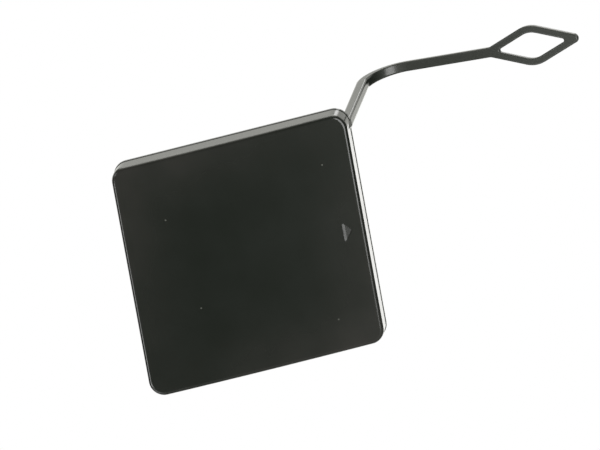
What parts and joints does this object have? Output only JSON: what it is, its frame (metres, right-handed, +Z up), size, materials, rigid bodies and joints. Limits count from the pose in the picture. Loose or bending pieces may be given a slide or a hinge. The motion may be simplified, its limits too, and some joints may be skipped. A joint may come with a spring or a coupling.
{
  "type": "bumper tow hook cover",
  "caption": "Leaning square cap with a round-cornered face, snap hooks and pivot tongues behind it, and a bent strap that ends in a rhombic eye.",
  "frame": {"origin": "middle of the seat, the plane of the flat rear rim that lies on the bumper's step", "axes": "+Y back into the bumper (the seat's outward normal), +X to the right along the top edge as seen from the front, +Z up"},
  "size_m": [0.1232, 0.0464, 0.06],
  "materials": {
    "cover_plastic": "smooth moulded black polypropylene, semi-gloss face, satin back"
  },
  "bodies": {
    "root": {"tow_cover": "cover_plastic"}
  },
  "joints": []
}
